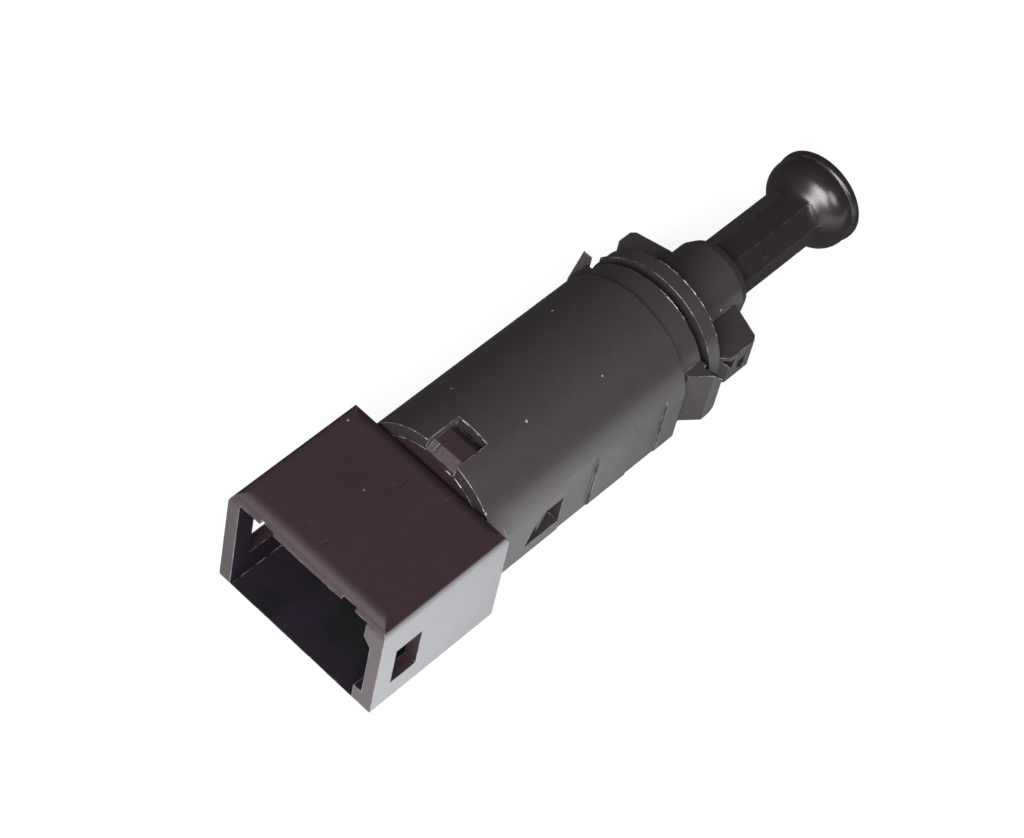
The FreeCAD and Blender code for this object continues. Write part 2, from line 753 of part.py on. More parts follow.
def contact_rivet(name, at, side, row):
    """A domed contact whose shank sits in the bridge."""
    body = new_body(name)
    inner = bar_inner_face()
    outer = inner + S.bar_thickness
    start = -(inner + S.bar_thickness) if side > 0 else inner
    sketch = sketch_on(body, "XZ_Plane", start)
    circle(sketch, at["bar_middle"], row, S.rivet_radius)
    pad(body, sketch, S.bar_thickness)
    dome = -(outer + S.dome_height) if side > 0 else outer
    sketch = sketch_on(body, "XZ_Plane", dome)
    circle(sketch, at["bar_middle"], row, S.dome_radius)
    pad(body, sketch, S.dome_height)
    face = side * (outer + S.dome_height)
    soften(body, S.dome_bevel, lambda p: near(p.y, face), "Chamfer")
    return body


def coil(name, radius, wire, turns, length, start, rotation):
    """A coil spring wound along its own axis, then laid in place."""
    helix = doc.addObject("Part::Helix", name + "_helix")
    bind(helix, "Radius", radius)
    bind(helix, "Height", length - 2 * wire)
    bind(helix, "Pitch", (length - 2 * wire) / turns)
    section = doc.addObject("Part::RegularPolygon", name + "_wire")
    section.Polygon = WIRE_SIDES
    bind(section, "Circumradius", wire)
    section.Placement = FreeCAD.Placement(FreeCAD.Vector(radius.value, 0, 0), FreeCAD.Rotation(FreeCAD.Vector(1, 0, 0), 90))
    bind(section, "Placement.Base.x", radius)
    spring = doc.addObject("Part::Sweep", name)
    spring.Label = name
    spring.Sections = [section]
    spring.Spine = (helix, ["Edge1"])
    spring.Solid = True
    spring.Frenet = True
    spring.Placement = FreeCAD.Placement(FreeCAD.Vector(0, 0, 0), rotation)
    for letter, value in zip("xyz", start):
        bind(spring, "Placement.Base." + letter, value)
    return spring


def springs(at):
    along = FreeCAD.Rotation(FreeCAD.Vector(0, 1, 0), 90)
    length = at["bore_floor"] - at["neck_front"]
    made = [coil("return_spring", return_spring_radius(), S.spring_wire_radius, S.return_spring_turns,
                 length, (at["neck_front"] + S.spring_wire_radius, 0, 0), along)]
    rows = blade_rows()
    middle_z = (rows[0] + rows[1]) / 2
    depth = bar_inner_face() - S.spring_web / 2
    for name, side in (("brake_contact_spring", 1), ("cruise_contact_spring", -1)):
        outward = FreeCAD.Rotation(FreeCAD.Vector(1, 0, 0), -90 * side)
        start = (at["bar_middle"], side * (S.spring_web / 2 + S.contact_wire_radius), middle_z)
        made.append(coil(name, S.contact_spring_radius, S.contact_wire_radius, S.contact_spring_turns,
                         depth, start, outward))
    return made


def contact_works(at):
    pieces = []
    rows = tuple(zip(("upper", "lower"), blade_rows()))
    for circuit, side in (("brake", 1), ("cruise", -1)):
        brake = circuit == "brake"
        for word, row in rows:
            pieces.append(terminal("%s_terminal_%s" % (circuit, word), at, side, row, brake))
            pieces.append(contact_pad("%s_contact_pad_%s" % (circuit, word), at, side, row, brake))
            pieces.append(contact_rivet("%s_contact_rivet_%s" % (circuit, word), at, side, row))
        pieces.append(contact_bridge("%s_contact_bridge" % circuit, at, side))
    return pieces


def check(pieces):
    for item in doc.Objects:
        if "Invalid" in item.State or "Error" in item.State:
            raise RuntimeError("%s failed: %s" % (item.Name, item.State))
    for piece in pieces:
        shape = piece.Shape
        if shape.isNull() or not shape.isValid():
            raise RuntimeError("%s has no valid shape" % piece.Label)
        if len(shape.Solids) != 1:
            raise RuntimeError("%s has %d solids" % (piece.Label, len(shape.Solids)))


def main():
    fill_sheet()
    at = stations()
    pieces = [barrel(at), plunger(at), connector_housing(at), contact_carrier(at)]
    pieces += contact_works(at)
    pieces += springs(at)
    doc.recompute()
    check(pieces)
    os.makedirs("parts", exist_ok=True)
    for piece in pieces:
        piece.Shape.exportStep(os.path.join("parts", piece.Label + ".step"))
        print("%-26s %10.3f mm3" % (piece.Label, piece.Shape.Volume))


main()
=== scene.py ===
import math

import bmesh
import bpy
from bpy.props import FloatProperty, FloatVectorProperty, IntProperty, PointerProperty
from mathutils import Matrix, Vector


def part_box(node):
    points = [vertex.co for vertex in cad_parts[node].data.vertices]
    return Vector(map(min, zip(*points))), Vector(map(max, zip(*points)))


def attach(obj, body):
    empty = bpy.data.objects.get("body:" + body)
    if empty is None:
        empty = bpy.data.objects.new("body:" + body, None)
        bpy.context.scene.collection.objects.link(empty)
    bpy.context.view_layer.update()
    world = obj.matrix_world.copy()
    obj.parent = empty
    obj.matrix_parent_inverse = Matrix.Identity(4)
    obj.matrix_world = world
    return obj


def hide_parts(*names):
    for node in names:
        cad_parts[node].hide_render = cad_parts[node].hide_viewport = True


bl_info = {
    "name": "Brake light switch",
    "version": (1, 0, 0),
    "blender": (4, 5, 0),
    "location": "3D View > Sidebar > Switch",
    "description": "Finishes, moulding flash and stage for a bayonet brake light switch",
    "category": "Object",
}

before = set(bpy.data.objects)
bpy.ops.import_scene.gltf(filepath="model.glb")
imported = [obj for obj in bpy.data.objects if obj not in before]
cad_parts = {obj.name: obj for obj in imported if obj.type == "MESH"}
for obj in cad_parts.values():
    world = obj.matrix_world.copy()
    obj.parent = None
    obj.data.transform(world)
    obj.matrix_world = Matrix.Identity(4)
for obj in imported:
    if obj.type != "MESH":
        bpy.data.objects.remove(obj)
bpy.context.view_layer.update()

MM = 0.001
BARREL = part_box("barrel")
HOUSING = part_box("connector_housing")
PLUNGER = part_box("plunger")


# ---------------------------------------------------------------- sizes and colours

def length(name, description, default):
    return FloatProperty(name=name, description=description, default=default, unit="LENGTH", precision=5)


def colour(name, description, default):
    return FloatVectorProperty(name=name, description=description, default=default, size=3,
                               subtype="COLOR", min=0.0, max=1.0)


def share(name, description, default):
    return FloatProperty(name=name, description=description, default=default,
                         subtype="FACTOR", min=0.0, max=1.0)


def heading(name, description, degrees):
    return FloatProperty(name=name, description=description, default=math.radians(degrees), subtype="ANGLE")


class MouldingSettings(bpy.types.PropertyGroup):
    barrel_colour: colour("Barrel", "Colour of the barrel's moulding", (0.0165, 0.0150, 0.0165))
    housing_colour: colour("Housing", "Colour of the connector's moulding", (0.0150, 0.0085, 0.0112))
    plunger_colour: colour("Plunger", "Colour of the plunger", (0.0100, 0.0080, 0.0092))
    # the sides' colour is a painted sheen, lighter than the black plastic where faces turn sideways, standing
    # in for light on the rough sides
    side_sheen_colour: colour("Textured sides", "Colour of the sides that the mould leaves rough",
                        (0.150, 0.156, 0.162))
    # the scuff colour paints dust and scratches, and painted glints on sharp edges
    scuff_and_glint_colour: colour("Scuffs", "Colour of rubbed edges, dust and scratches", (0.33, 0.34, 0.35))
    grain_size: length("Grain", "Size of the grain that the mould leaves", 0.16 * MM)
    edge_radius: length("Edge radius", "Rounding that the mould leaves on sharp edges", 0.16 * MM)


class PlungerSettings(bpy.types.PropertyGroup):
    shaft_flats: length("Shaft", "Width of the shaft across its flats", 6.1 * MM)
    shaft_rear: length("Shaft length", "Distance from the tip to the rear end of the shaft", 31.16 * MM)
    ear_width: length("Ears", "Width of the two stop ears", 5.2 * MM)
    ear_height: length("Ear height", "Height over both stop ears", 9.0 * MM)
    ear_length: length("Ear length", "Length of the stop ears along the shaft", 1.4 * MM)
    tail_radius: length("Tail radius", "Radius of the tail behind the ears", 1.8 * MM)
    tail_length: length("Tail", "Length of the tail behind the ears", 2.6 * MM)
    points: IntProperty(name="Points", description="Points round the shaft, a multiple of 16",
                        default=96, min=16, max=320)


class ContactSettings(bpy.types.PropertyGroup):
    tin_colour: colour("Blades", "Colour of the tinned blades", (0.62, 0.60, 0.56))
    copper_colour: colour("Bridges", "Colour of the copper alloy bridges", (0.72, 0.40, 0.26))
    silver_colour: colour("Contacts", "Colour of the silver contacts", (0.80, 0.79, 0.76))
    steel_colour: colour("Springs", "Colour of the spring wire", (0.46, 0.46, 0.47))
    slider_colour: colour("Slider", "Colour of the slider's natural plastic", (0.60, 0.57, 0.50))


class FlashSettings(bpy.types.PropertyGroup):
    # the flash beads' light colour is a painted highlight along the parting edges
    flash_highlight_colour: colour("Flash", "Colour of the thin rubbed flash on parting edges", (0.42, 0.43, 0.44))
    bead_radius: length("Bead radius", "Half the thickness of the flash along a parting edge", 0.055 * MM)
    bead_waver: length("Waver", "How far the flash strays from its edge", 0.05 * MM)
    bead_gaps: share("Gaps", "How much of the flash is broken away", 0.46)
    bead_sides: IntProperty(name="Sides", description="Sides of the flash's section",
                            default=6, min=3, max=12)
    seed: IntProperty(name="Seed", description="Seed of the flash's gaps and waver", default=4, min=0)


class StageSettings(bpy.types.PropertyGroup):
    camera_place: FloatVectorProperty(name="Camera", description="Where the camera stands", size=3,
                                      unit="LENGTH", default=(-0.17079, -0.09616, 0.24437), precision=5)
    azimuth: heading("Azimuth", "Direction from which the camera looks", -57.45)
    elevation: heading("Elevation", "Height from which the camera looks", 53.69)
    roll: heading("Roll", "Turn of the camera about its own axis", 13.88)
    lens: FloatProperty(name="Lens", description="Focal length in millimetres", default=112.5, min=1.0,
                        unit="CAMERA")
    floor_size: length("Floor", "Side of the square floor", 3.0)
    floor_colour: colour("Floor colour", "Colour of the floor", (0.90, 0.90, 0.91))
    room_colour: colour("Room colour", "Colour of the room that the object reflects", (0.55, 0.42, 0.48))


# ---------------------------------------------------------------- shader maths

class Value:
    """A socket that varies over a surface: sums and products of it add Math nodes."""

    def __init__(self, tree, socket):
        self.tree = tree
        self.socket = socket

    def math(self, operation, *others, clamp=False):
        values = dict(enumerate((self,) + others))
        return self.tree.node("ShaderNodeMath", {"operation": operation, "use_clamp": clamp}, values)

    def __add__(self, other):
        return self.math("ADD", other)

    def __sub__(self, other):
        return self.math("SUBTRACT", other)

    def __mul__(self, other):
        return self.math("MULTIPLY", other)

    def __truediv__(self, other):
        return self.math("DIVIDE", other)

    def __radd__(self, other):
        return self + other

    def __rmul__(self, other):
        return self * other

    def __rsub__(self, other):
        return self.tree.node("ShaderNodeMath", {"operation": "SUBTRACT"}, {0: other, 1: self})

    def __rtruediv__(self, other):
        return self.tree.node("ShaderNodeMath", {"operation": "DIVIDE"}, {0: other, 1: self})

    def __abs__(self):
        return self.math("ABSOLUTE")

    def over(self, edge, soft):
        """0 below the edge and 1 above it, with a soft step between."""
        return ((self - edge) / soft + 0.5).math("ADD", 0.0, clamp=True)

    def sibling(self, output):
        """Another output of the same node."""
        return Value(self.tree, self.socket.node.outputs[output])


class Tree:
    """The nodes of one material, world or geometry group."""

    def __init__(self, tree):
        self.tree = tree

    def node(self, kind, settings=None, inputs=None, output=0):
        """Adds a node, sets its settings first, then the values or links of its sockets."""
        node = self.tree.nodes.new(kind)
        for name, value in (settings or {}).items():
            setattr(node, name, value)
        for name, value in (inputs or {}).items():
            if isinstance(value, Value):
                self.tree.links.new(value.socket, node.inputs[name])
            else:
                node.inputs[name].default_value = value
        return Value(self, node.outputs[output]) if node.outputs else None

    def mix(self, factor, low, high):
        """Mixes two colours, each a colour or a socket."""
        full = [c if isinstance(c, Value) else (*c, 1.0) for c in (low, high)]
        return self.node("ShaderNodeMix", {"data_type": "RGBA"}, {0: factor, 6: full[0], 7: full[1]}, 2)

    def axes(self, vector):
        """The X, Y and Z of a vector."""
        first = self.node("ShaderNodeSeparateXYZ", None, {0: vector})
        return [first.sibling(axis) for axis in range(3)]


def new_material(name):
    material = bpy.data.materials.new(name)
    material.use_nodes = True
    material.node_tree.nodes.clear()
    return material, Tree(material.node_tree)


def close_material(tree, shader):
    tree.node("ShaderNodeOutputMaterial", None, {"Surface": shader})


def millimetres(tree):
    """The place on the piece, in millimetres."""
    place = tree.node("ShaderNodeTexCoord", None, None, "Object")
    return tree.node("ShaderNodeMapping", {"vector_type": "POINT"},
                     {"Vector": place, "Scale": (1 / MM, 1 / MM, 1 / MM)})


def noise(tree, place, scale, detail=2.0, roughness=0.5):
    return tree.node("ShaderNodeTexNoise", {"noise_dimensions": "3D"},
                     {"Vector": place, "Scale": scale, "Detail": detail, "Roughness": roughness}, "Fac")


def stretched(tree, place, scale):
    return tree.node("ShaderNodeMapping", {"vector_type": "POINT"}, {"Vector": place, "Scale": scale})


# ---------------------------------------------------------------- materials

def rounded_edge(tree, radius):
    """A rounded normal, and a mask that is 1 on sharp edges."""
    rounded = tree.node("ShaderNodeBevel", {"samples": 6}, {"Radius": radius})
    flat = tree.node("ShaderNodeNewGeometry", None, None, "True Normal")
    likeness = tree.node("ShaderNodeVectorMath", {"operation": "DOT_PRODUCT"}, {0: rounded, 1: flat}, "Value")
    return rounded, (1.0 - likeness).over(0.10, 0.12)


def dust(tree, place, spacing, size):
    """Sparse specks: the middles of a few Voronoi cells."""
    cell = tree.node("ShaderNodeTexVoronoi", {"feature": "F1"},
                     {"Vector": place, "Scale": 1.0 / spacing}, "Distance")
    chance = tree.node("ShaderNodeSeparateColor", None, {0: cell.sibling("Color")})
    return (1.0 - cell.over(size, size * 0.5)) * chance.over(0.72, 0.02)


def scratches(tree, place, along):
    """Fine lines that run mostly along one axis."""
    lines = noise(tree, stretched(tree, place, along), 1.0, 1.0)
    gaps = noise(tree, place, 0.22, 1.0)
    return lines.over(0.74, 0.02) * gaps.over(0.60, 0.06)


def crisp(tree, normal):
    """Lets a wide rounding on top reflect as the flat top does, nearly down to its lower end."""
    nx, ny, nz = tree.axes(normal)
    flat = nz.over(0.50, 0.25)
    under = nz.math("LESS_THAN", 0.0)
    level = nz * flat.math("MAXIMUM", under)
    joined = tree.node("ShaderNodeCombineXYZ", None, {0: nx, 1: ny * (1.0 - flat), 2: level})
    return tree.node("ShaderNodeVectorMath", {"operation": "NORMALIZE"}, {0: joined})


# the inside of the connector's socket, in millimetres, and the two tones of the painted shade in it
SOCKET_HALF_WIDTH = 8.65
SOCKET_TOP = 4.9
SOCKET_FLOOR = -8.7
SOCKET_END = -35.3
SOCKET_MOUTH = -48.46
SOCKET_SHADE_TONES = ((0.0030, 0.0032, 0.0040), (0.0065, 0.0035, 0.0085))
SEAM_FROM_MIDDLE = 0.35
SEAM_HALF_WIDTH = 0.10


def inside_socket(tree, place):
    """1 on the walls inside the connector's socket, 0 elsewhere."""
    x, y, z = tree.axes(place)
    between = (1.0 - abs(y).over(SOCKET_HALF_WIDTH, 0.1)) * (1.0 - z.over(SOCKET_TOP, 0.1))
    return between * z.over(SOCKET_FLOOR, 0.1) * (1.0 - x.over(SOCKET_END, 0.1)) * x.over(SOCKET_MOUTH, 0.04)


def top_seam(tree, place, cloud, mottle):
    """1 on a faint broken seam along the middle of the housing's top, 0 elsewhere."""
    _, y, z = tree.axes(place)
    away = abs(y - SEAM_FROM_MIDDLE + (mottle - 0.5) * 0.25)
    breaks = noise(tree, place, 0.7, 1.0).over(0.52, 0.1)
    return (1.0 - away.over(SEAM_HALF_WIDTH, 0.10)) * cloud.over(0.5, 0.1) * z.over(5.0, 0.5) * breaks


def moulded(name, base, settings, roughness, side_sheen_share, grain_depth, tint, edge_glint=0.5, socket=False):
    """Black moulded plastic: fine grain, cloudy gloss, a painted sheen on the rough sides, painted glints on
    sharp edges, dust and scratches; with socket, painted shade in the socket and along the top seam.
    """
    material, tree = new_material(name)
    place = millimetres(tree)
    edge_normal, edge = rounded_edge(tree, settings.edge_radius)
    cloud = noise(tree, place, 0.16, 4.0, 0.6)
    mottle = noise(tree, place, 0.9, 3.0, 0.6)
    grain = noise(tree, place, MM / settings.grain_size, 3.0, 0.65)
    specks = dust(tree, place, 2.3, 0.06)
    lines = scratches(tree, place, (0.25, 4.0, 4.0))
    body = tree.mix(cloud.over(0.5, 0.35), tuple(base), tuple(c * t for c, t in zip(base, tint)))
    body = tree.mix(mottle.over(0.6, 0.4) * 0.35, body, tuple(c * 1.35 for c in base))
    normal = tree.node("ShaderNodeNewGeometry", None, None, "Normal")
    sideways = abs(tree.axes(normal)[1])
    # faces turned sideways get a lighter colour, a painted sheen for light on the rough sides; the grain
    # breaks it up
    painted_side_sheen = sideways.over(0.90, 0.16) * side_sheen_share * (0.75 + grain * 0.5)
    body = tree.mix(painted_side_sheen.math("MINIMUM", 1.0), body, tuple(settings.side_sheen_colour))
    height = grain + mottle * 0.5 - lines * 0.5 + specks * 2.0
    if socket:
        edge_normal = crisp(tree, edge_normal)
        seam = top_seam(tree, place, cloud, mottle)
        # the seam is painted darker, as painted shade in its crease; the height below also dents it
        body = tree.mix(seam * 0.7, body, tuple(c * 0.45 for c in base))
        height = height - seam * 4.0
        # the walls inside the socket are painted near black, as painted shade in the recess
        body = tree.mix(inside_socket(tree, place), body, tree.mix(cloud.over(0.5, 0.2), *SOCKET_SHADE_TONES))
    # sharp edges are painted light, as painted glints; the specks and lines are dust and scratches
    marks_and_glints = edge * mottle.over(0.5, 0.2) * edge_glint + specks * 0.5 + lines * 0.03
    body = tree.mix(marks_and_glints.math("ADD", 0.0, clamp=True), body, tuple(settings.scuff_and_glint_colour))
    rough = roughness + (cloud - 0.5) * 0.14 + (grain - 0.5) * 0.18 - edge * 0.14 + lines * 0.12
    bumpy = tree.node("ShaderNodeBump", None, {
        "Strength": 1.0, "Distance": grain_depth, "Height": height, "Normal": edge_normal})
    shader = tree.node("ShaderNodeBsdfPrincipled", None, {
        "Base Color": body, "Roughness": rough, "Normal": bumpy, "IOR": 1.45})
    close_material(tree, shader)
    return material


def metal(name, base, roughness, drawn=(1.0, 12.0, 12.0)):
    """Bare metal with drawing lines, cloudy gloss and a little tarnish. drawn is the lines' scale by axis."""
    material, tree = new_material(name)
    place = millimetres(tree)
    cloud = noise(tree, place, 0.6, 3.0)
    lines = noise(tree, stretched(tree, place, drawn), 1.0, 3.0, 0.6)
    body = tree.mix(cloud.over(0.58, 0.3) * 0.55, tuple(base), tuple(c * 0.62 for c in base))
    bumpy = tree.node("ShaderNodeBump", None, {"Strength": 0.6, "Distance": 0.01 * MM, "Height": lines})
    rough = roughness + (lines - 0.5) * 0.2 + (cloud - 0.5) * 0.2
    shader = tree.node("ShaderNodeBsdfPrincipled", None, {
        "Base Color": body, "Metallic": 1.0, "Roughness": rough, "Normal": bumpy})
    close_material(tree, shader)
    return material


def natural(name, base, settings):
    """The slider's natural plastic, slightly see-through at its edges."""
    material, tree = new_material(name)
    place = millimetres(tree)
    edge_normal, edge = rounded_edge(tree, settings.edge_radius)
    cloud = noise(tree, place, 0.3, 3.0)
    grain = noise(tree, place, 5.0, 2.0)
    body = tree.mix(cloud.over(0.5, 0.4), tuple(base), tuple(c * 0.86 for c in base))
    body = tree.mix(edge * 0.4, body, (0.74, 0.72, 0.66))
    bumpy = tree.node("ShaderNodeBump", None, {
        "Strength": 1.0, "Distance": 0.008 * MM, "Height": grain, "Normal": edge_normal})
    shader = tree.node("ShaderNodeBsdfPrincipled", None, {
        "Base Color": body, "Roughness": 0.42 + (cloud - 0.5) * 0.2, "Normal": bumpy,
        "Subsurface Weight": 0.15, "Subsurface Radius": (1.0 * MM, 0.8 * MM, 0.6 * MM)})
    close_material(tree, shader)
    return material


def dress(name, material):
    """Gives a CAD node its finish, and leaves its mesh as it is."""
    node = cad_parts[name]
    if not node.material_slots:
        node.data.materials.append(material)
    for slot in node.material_slots:
        slot.material = material


# ---------------------------------------------------------------- operators

class SWITCH_OT_mouldings(bpy.types.Operator):
    """Finish the barrel and the connector housing"""
    bl_idname = "switch.mouldings"
    bl_label = "Mouldings"

    def execute(self, context):
        s = context.scene.switch_mouldings
        dress("barrel", moulded(
            "barrel_plastic", s.barrel_colour, s, roughness=0.46, side_sheen_share=0.22, grain_depth=0.012 * MM,
            tint=(1.15, 0.92, 0.98)))
        dress("connector_housing", moulded(
            "housing_plastic", s.housing_colour, s, roughness=0.46, side_sheen_share=1.0, grain_depth=0.012 * MM,
            tint=(1.10, 0.95, 1.0), socket=True))
        return {"FINISHED"}


# distance from the tip and radius of the plunger's head, in millimetres; the flat shaft ends at the first
HEAD_PROFILE = (
    (5.6, 3.05), (5.0, 3.08), (4.6, 3.16), (4.25, 3.38), (3.95, 3.72), (3.65, 4.10),
    (3.35, 4.42), (3.0, 4.70), (2.6, 4.90), (2.2, 5.01), (1.8, 5.05), (1.4, 5.02),
    (1.1, 4.97), (0.95, 4.95), (0.92, 5.00), (0.86, 5.09), (0.76, 5.15), (0.60, 5.17),
    (0.30, 5.17), (0.16, 5.14), (0.06, 5.06), (0.01, 4.94), (0.0, 4.78))
# the section turns from eight-sided to round between these distances from the tip, in millimetres
ROUND_FROM = 5.0
ROUND_TO = 4.0
TAIL_SIDES = 32


def shaft_radius(angle, flats):
    """Distance from the axis to the face of an eight-sided shaft at an angle."""
    turn = (angle + math.pi / 8) % (math.pi / 4) - math.pi / 8
    return flats / 2 / math.cos(turn)


def plunger_mesh(s):
    """The shaft blends into the mushroom head, then the ears and the tail are added behind."""
    tip = PLUNGER[1].x
    rear = tip - s.shaft_rear
    rings = [(rear, s.shaft_flats / 2, 0.0), (tip - HEAD_PROFILE[0][0] * MM, s.shaft_flats / 2, 0.0)]
    for away, radius in HEAD_PROFILE[1:]:
        roundness = min(max((ROUND_FROM - away) / (ROUND_FROM - ROUND_TO), 0.0), 1.0)
        rings.append((tip - away * MM, radius * MM, roundness))
    verts, faces = [], []
    for x, radius, roundness in rings:
        for i in range(s.points):
            angle = 2 * math.pi * i / s.points
            flat = shaft_radius(angle, 2 * radius)
            r = flat + (radius - flat) * roundness
            verts.append((x, r * math.cos(angle), r * math.sin(angle)))
    n = s.points
    for k in range(len(rings) - 1):
        for i in range(n):
            j = (i + 1) % n
            faces.append((k * n + i, k * n + j, (k + 1) * n + j, (k + 1) * n + i))
    faces.append(tuple(range(n))[::-1])
    last = (len(rings) - 1) * n
    faces.append(tuple(range(last, last + n)))
    ear_rear = rear - s.ear_length
    add_prism(verts, faces, ear_rear, rear, [(y * s.ear_width / 2, z * s.ear_height / 2)
                                             for y, z in ((1, 1), (-1, 1), (-1, -1), (1, -1))])
    ring = [2 * math.pi * i / TAIL_SIDES for i in range(TAIL_SIDES)]
    add_prism(verts, faces, ear_rear - s.tail_length, ear_rear,
              [(s.tail_radius * math.cos(a), s.tail_radius * math.sin(a)) for a in ring])
    return verts, faces


def add_prism(verts, faces, x0, x1, outline):
    """A closed prism along X over an outline in Y and Z that runs anticlockwise."""
    first, n = len(verts), len(outline)
    for x in (x0, x1):
        verts.extend((x, y, z) for y, z in outline)
    faces.extend((first + i, first + (i + 1) % n, first + n + (i + 1) % n, first + n + i) for i in range(n))
    faces.append(tuple(range(first, first + n))[::-1])
    faces.append(tuple(range(first + n, first + 2 * n)))


# radians between two faces from which their edge is drawn sharp
SHARP_FROM = 0.6


def new_piece(name, verts, faces, material):
    """A mesh object with its faces turned outwards and its shading smooth up to an angle."""
    mesh = bpy.data.meshes.new(name)
    mesh.from_pydata(verts, [], faces)
    work = bmesh.new()
    work.from_mesh(mesh)
    bmesh.ops.recalc_face_normals(work, faces=work.faces)
    work.to_mesh(mesh)
    work.free()
    mesh.shade_smooth()
    mesh.set_sharp_from_angle(angle=SHARP_FROM)
    mesh.materials.append(material)
    piece = bpy.data.objects.new(name, mesh)
    bpy.context.scene.collection.objects.link(piece)
    return piece


class SWITCH_OT_plunger(bpy.types.Operator):
    """Turn the plunger with its smooth mushroom head"""
    bl_idname = "switch.plunger"
    bl_label = "Plunger"

    def execute(self, context):
        s = context.scene.switch_plunger
        m = context.scene.switch_mouldings
        finish = moulded(
            "plunger_plastic", m.plunger_colour, m, roughness=0.27, side_sheen_share=0.0, grain_depth=0.005 * MM,
            tint=(1.1, 0.98, 1.0), edge_glint=0.25)
        verts, faces = plunger_mesh(s)
        piece = new_piece("plunger_turned", verts, faces, finish)
        if len(piece.data.polygons) <= s.points:
            raise RuntimeError("the plunger has no faces")
        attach(piece, "plunger_unit")
        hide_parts("plunger")
        return {"FINISHED"}


def arc(x, radius, first, last):
    """Points on a ring about the plunger's axis, in millimetres, by angle from the top to the left side."""
    count = max(int(abs(last - first) / 3), 2)
    angles = [math.radians(first + (last - first) * i / count) for i in range(count + 1)]
    return [(x, radius * math.sin(a), radius * math.cos(a)) for a in angles]


# parting edges that carry flash beads, painted light as highlights, in millimetres
FLASH_PATHS = (
    arc(0.0, 8.0, 12, -62),
    arc(-2.6, 7.9, -2, -36),
    arc(-28.33, 8.35, 8.2, -17.4),
    arc(-32.3, 8.4, -17.6, -50),
    arc(-32.3, 8.4, 40, 9),
    [(-32.42, -0.7, 6.55), (-32.42, -2.0, 6.50), (-32.42, -2.9, 6.32), (-32.42, -3.7, 5.98)],
    [(-3.0, -9.4, 3.2), (-2.2, -9.4, 2.26), (-1.3, -9.4, 1.2)],
    [(-32.4, -8.5, 5.75), (-32.4, -9.3, 5.3), (-32.4, -9.75, 4.5), (-32.4, -9.85, 3.4), (-32.4, -9.85, 1.0)],
)


# points along each bead, and the scales of the noises that make it stray and thin out, per metre
BEAD_POINTS = 90
STRAY_SCALE = 2200.0
THICKNESS_SCALE = 1500.0
FLASH_INPUTS = (
    ("Geometry", "NodeSocketGeometry"), ("Radius", "NodeSocketFloat"), ("Waver", "NodeSocketFloat"),
    ("Gaps", "NodeSocketFloat"), ("Sides", "NodeSocketInt"), ("Seed", "NodeSocketInt"),
    ("Material", "NodeSocketMaterial"))


def flash_tree():
    """Nodes that lay a broken, wavering bead along each curve."""
    group = bpy.data.node_groups.new("flash_bead", "GeometryNodeTree")
    for name, kind in FLASH_INPUTS:
        group.interface.new_socket(name, in_out="INPUT", socket_type=kind)
    group.interface.new_socket("Geometry", in_out="OUTPUT", socket_type="NodeSocketGeometry")
    tree = Tree(group)
    path = tree.node("NodeGroupInput")
    radius, waver, gaps, sides, seed, material = [path.sibling(name) for name, _ in FLASH_INPUTS[1:]]
    curve = tree.node("GeometryNodeMeshToCurve", None, {"Mesh": path})
    curve = tree.node("GeometryNodeResampleCurve", None, {"Curve": curve, "Count": BEAD_POINTS})
    place = tree.node("GeometryNodeInputPosition")
    stray = tree.node("ShaderNodeTexNoise", {"noise_dimensions": "4D"},
                      {"Vector": place, "W": seed, "Scale": STRAY_SCALE, "Detail": 2.0}, "Color")
    stray = tree.node("ShaderNodeVectorMath", {"operation": "SUBTRACT"}, {0: stray, 1: (0.5, 0.5, 0.5)})
    stray = tree.node("ShaderNodeVectorMath", {"operation": "SCALE"}, {0: stray, "Scale": waver})
    curve = tree.node("GeometryNodeSetPosition", None, {"Geometry": curve, "Offset": stray})
    lot = tree.node("ShaderNodeTexNoise", {"noise_dimensions": "4D"},
                    {"Vector": place, "W": seed + 7.0, "Scale": THICKNESS_SCALE, "Detail": 2.0}, "Fac")
    thick = ((lot - gaps) * 6.0).math("MAXIMUM", 0.05).math("MINIMUM", 1.0)
    ring = tree.node("GeometryNodeCurvePrimitiveCircle", None, {"Resolution": sides, "Radius": radius})
    bead = tree.node("GeometryNodeCurveToMesh", None,
                     {"Curve": curve, "Profile Curve": ring, "Scale": thick, "Fill Caps": True})
    done = tree.node("GeometryNodeRealizeInstances", None, {"Geometry": bead})
    done = tree.node("GeometryNodeSetMaterial", None, {"Geometry": done, "Material": material})
    tree.node("NodeGroupOutput", None, {"Geometry": done})
    return group


def grow(name, verts, edges, group, values):
    """Runs a node group on a wire mesh once, and keeps the outcome as a plain mesh."""
    mesh = bpy.data.meshes.new(name + "_paths")
    mesh.from_pydata(verts, edges, [])
    source = bpy.data.objects.new(name + "_paths", mesh)
    bpy.context.scene.collection.objects.link(source)
    modifier = source.modifiers.new("grow", "NODES")
    modifier.node_group = group
    for item in group.interface.items_tree:
        if item.in_out == "INPUT" and item.name in values:
            modifier[item.identifier] = values[item.name]
    bpy.context.view_layer.update()
    evaluated = source.evaluated_get(bpy.context.evaluated_depsgraph_get())
    grown = bpy.data.meshes.new_from_object(evaluated)
    bpy.data.objects.remove(source)
    grown.name = name
    piece = bpy.data.objects.new(name, grown)
    bpy.context.scene.collection.objects.link(piece)
    return piece


def glinting(name, base):
    """Light shiny plastic: the painted highlight on the flash beads."""
    material, tree = new_material(name)
    place = millimetres(tree)
    cloud = noise(tree, place, 1.2, 3.0, 0.7)
    fine = noise(tree, place, 7.0, 2.0)
    body = tree.mix(cloud.over(0.55, 0.25), tuple(c * 0.25 for c in base), tuple(base))
    bumpy = tree.node("ShaderNodeBump", None, {"Strength": 0.8, "Distance": 0.01 * MM, "Height": fine})
    shader = tree.node("ShaderNodeBsdfPrincipled", None, {
        "Base Color": body, "Roughness": 0.30 + (cloud - 0.5) * 0.2, "Normal": bumpy})
    close_material(tree, shader)
    return material


